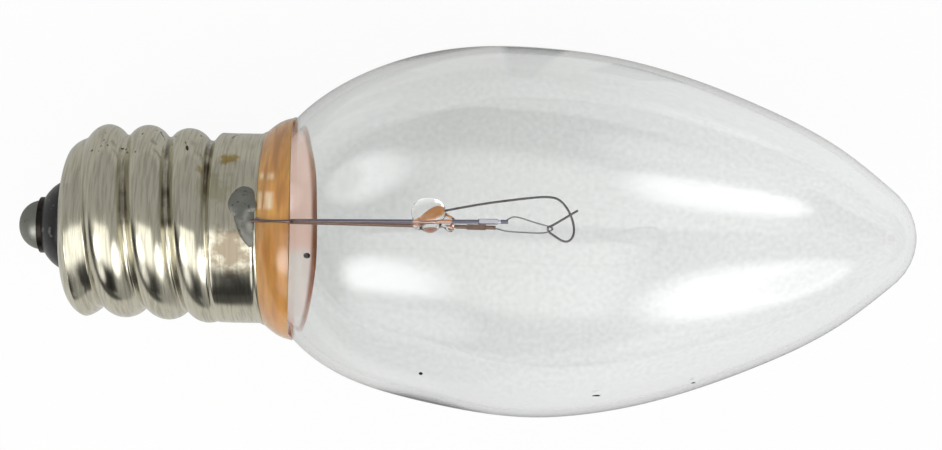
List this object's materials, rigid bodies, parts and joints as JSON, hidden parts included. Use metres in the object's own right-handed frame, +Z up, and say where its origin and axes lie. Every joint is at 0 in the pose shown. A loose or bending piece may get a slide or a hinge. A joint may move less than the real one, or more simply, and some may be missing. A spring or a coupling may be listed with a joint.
{
  "type": "candelabra bulb",
  "caption": "Clear cone-shaped incandescent night-light bulb with a rolled-thread candelabra screw cap, amber cement ring and bead-mounted filament.",
  "frame": {"origin": "middle of the bulb's footprint on the surface it lies on", "axes": "+X runs along the bulb from the contact towards the glass tip, +Z up from the surface, +Y to the side; the bulb's own axis rises by about 13 degrees towards +X, because it leans on its thread and on the side of its glass"},
  "size_m": [0.053, 0.0224, 0.0232],
  "materials": {
    "clear_glass": "clear blown soda-lime glass, smooth and glossy",
    "lead_wire": "drawn nickel-iron wire with a copper-brown heat tint",
    "support_wire": "dull dark molybdenum wire",
    "filament_wire": "grey drawn tungsten coil",
    "amber_cement": "translucent amber basing cement, baked hard and glossy",
    "nickel_plate": "nickel plate over rolled brass, bright with fine scratches and dull grey haze",
    "black_insulator": "black moulded insulating glass",
    "brass": "stamped brass, darkened",
    "solder": "dull grey lead-tin solder"
  },
  "bodies": {
    "root": {"glass_envelope": "clear_glass", "glass_bead": "clear_glass", "stem": "clear_glass", "side_lead": "lead_wire", "centre_lead": "lead_wire", "filament_support": "support_wire", "filament": "filament_wire", "basing_cement": "amber_cement", "screw_shell": "nickel_plate", "insulator": "black_insulator", "contact_eyelet": "brass", "tip_solder": "solder", "side_solder": "solder"}
  },
  "joints": []
}
